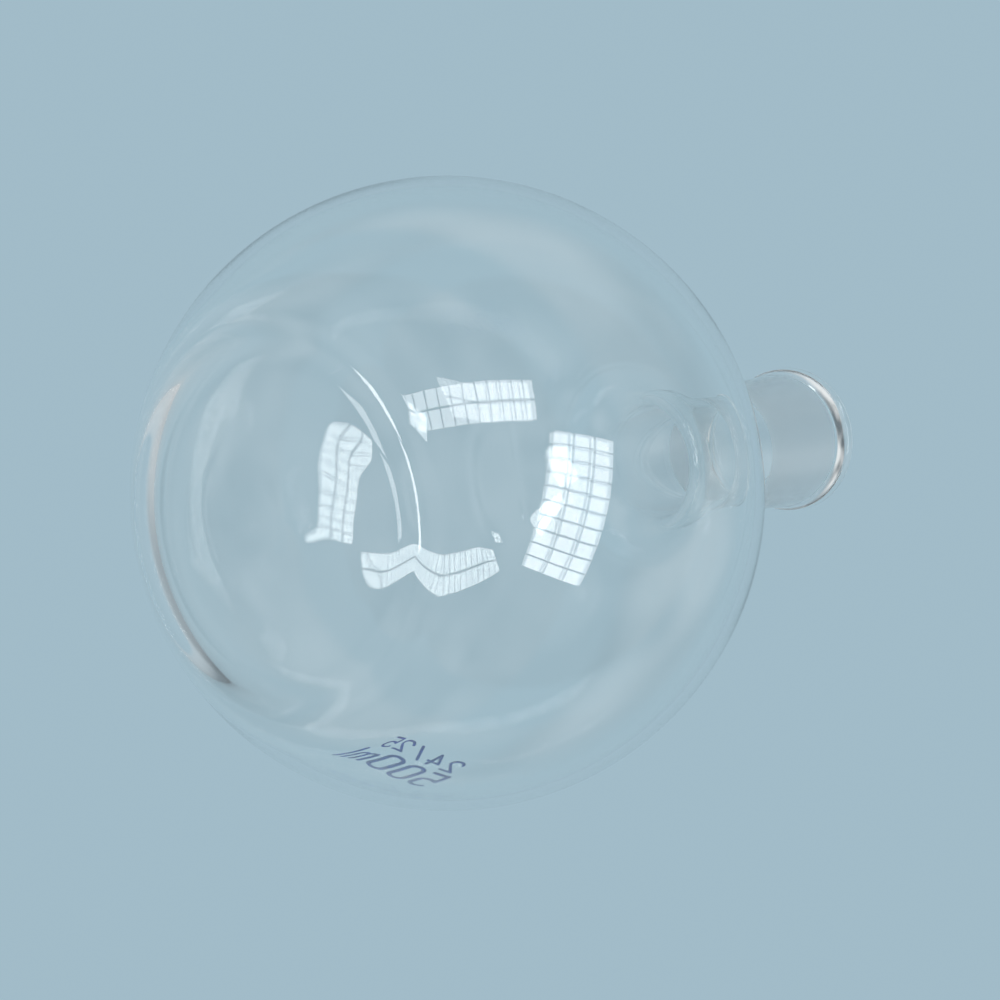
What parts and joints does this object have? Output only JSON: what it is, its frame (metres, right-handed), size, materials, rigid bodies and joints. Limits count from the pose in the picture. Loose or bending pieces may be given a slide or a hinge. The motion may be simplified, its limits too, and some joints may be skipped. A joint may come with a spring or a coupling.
{
  "type": "flat-bottomed boiling flask with ground socket",
  "caption": "Clear glass boiling flask: round globe with a flat base, short neck, beaded ground-glass taper socket and blue fired print.",
  "frame": {"origin": "centre of the plane that the foot stands on", "axes": "+Z from the base to the mouth, along the flask's axis; the print faces -Y"},
  "size_m": [0.105, 0.1051, 0.155],
  "materials": {
    "clear_glass": "clear, blown",
    "socket_glass": "clear outside, ground bore",
    "blue_enamel": "fired enamel"
  },
  "bodies": {
    "root": {"bulb": "clear_glass", "ground_socket": "socket_glass", "capacity_print": "blue_enamel", "joint_size_print": "blue_enamel"}
  },
  "joints": []
}
